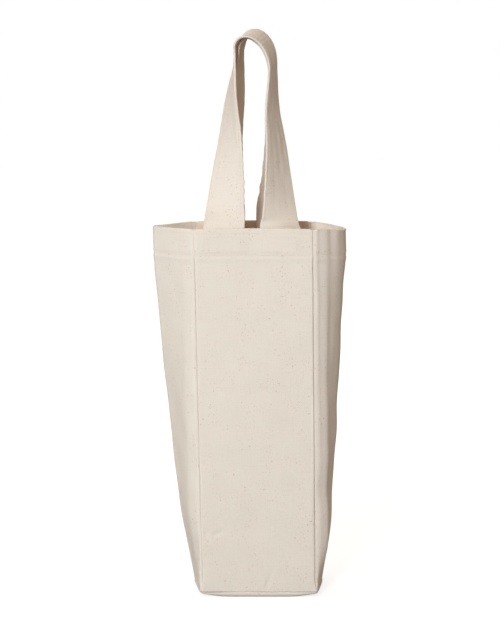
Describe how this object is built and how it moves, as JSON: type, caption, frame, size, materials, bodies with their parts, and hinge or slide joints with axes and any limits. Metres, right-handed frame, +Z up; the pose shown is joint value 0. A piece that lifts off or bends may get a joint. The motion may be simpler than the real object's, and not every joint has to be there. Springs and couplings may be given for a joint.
{
  "type": "bottle tote bag",
  "caption": "Tall narrow canvas tote for one bottle, with bellied side gussets, a flat sewn base, a turned hem and twisted self-fabric strap handles.",
  "frame": {"origin": "middle of the base on the surface the bag stands on", "axes": "+X to the right along the front panel, +Y from the front panel to the back panel, +Z up to the handles"},
  "size_m": [0.1735, 0.1116, 0.4973],
  "materials": {
    "canvas": "natural unbleached plain-weave cotton canvas, matt",
    "strap": "the same canvas folded and topstitched into a flat strap",
    "thread": "natural cotton sewing thread"
  },
  "bodies": {
    "bag": {"front_panel": "canvas", "back_panel": "canvas", "left_gusset": "canvas", "right_gusset": "canvas", "base_panel": "canvas", "front_handle_ends": "strap", "back_handle_ends": "strap", "front_handle_stitching": "thread", "back_handle_stitching": "thread", "hem_stitching": "thread", "rim_stitching": "thread"},
    "front_handle": {"front_handle_loop": "strap"},
    "back_handle": {"back_handle_loop": "strap"}
  },
  "joints": [
    {"name": "front_handle_swing", "type": "hinge", "parent": "bag", "child": "front_handle", "pos_m": [0, -0.0424, 0.325], "axis": [1, 0, 0], "range_deg": [0, 165]},
    {"name": "back_handle_swing", "type": "hinge", "parent": "bag", "child": "back_handle", "pos_m": [0, 0.0424, 0.325], "axis": [-1, 0, 0], "range_deg": [0, 165]}
  ]
}
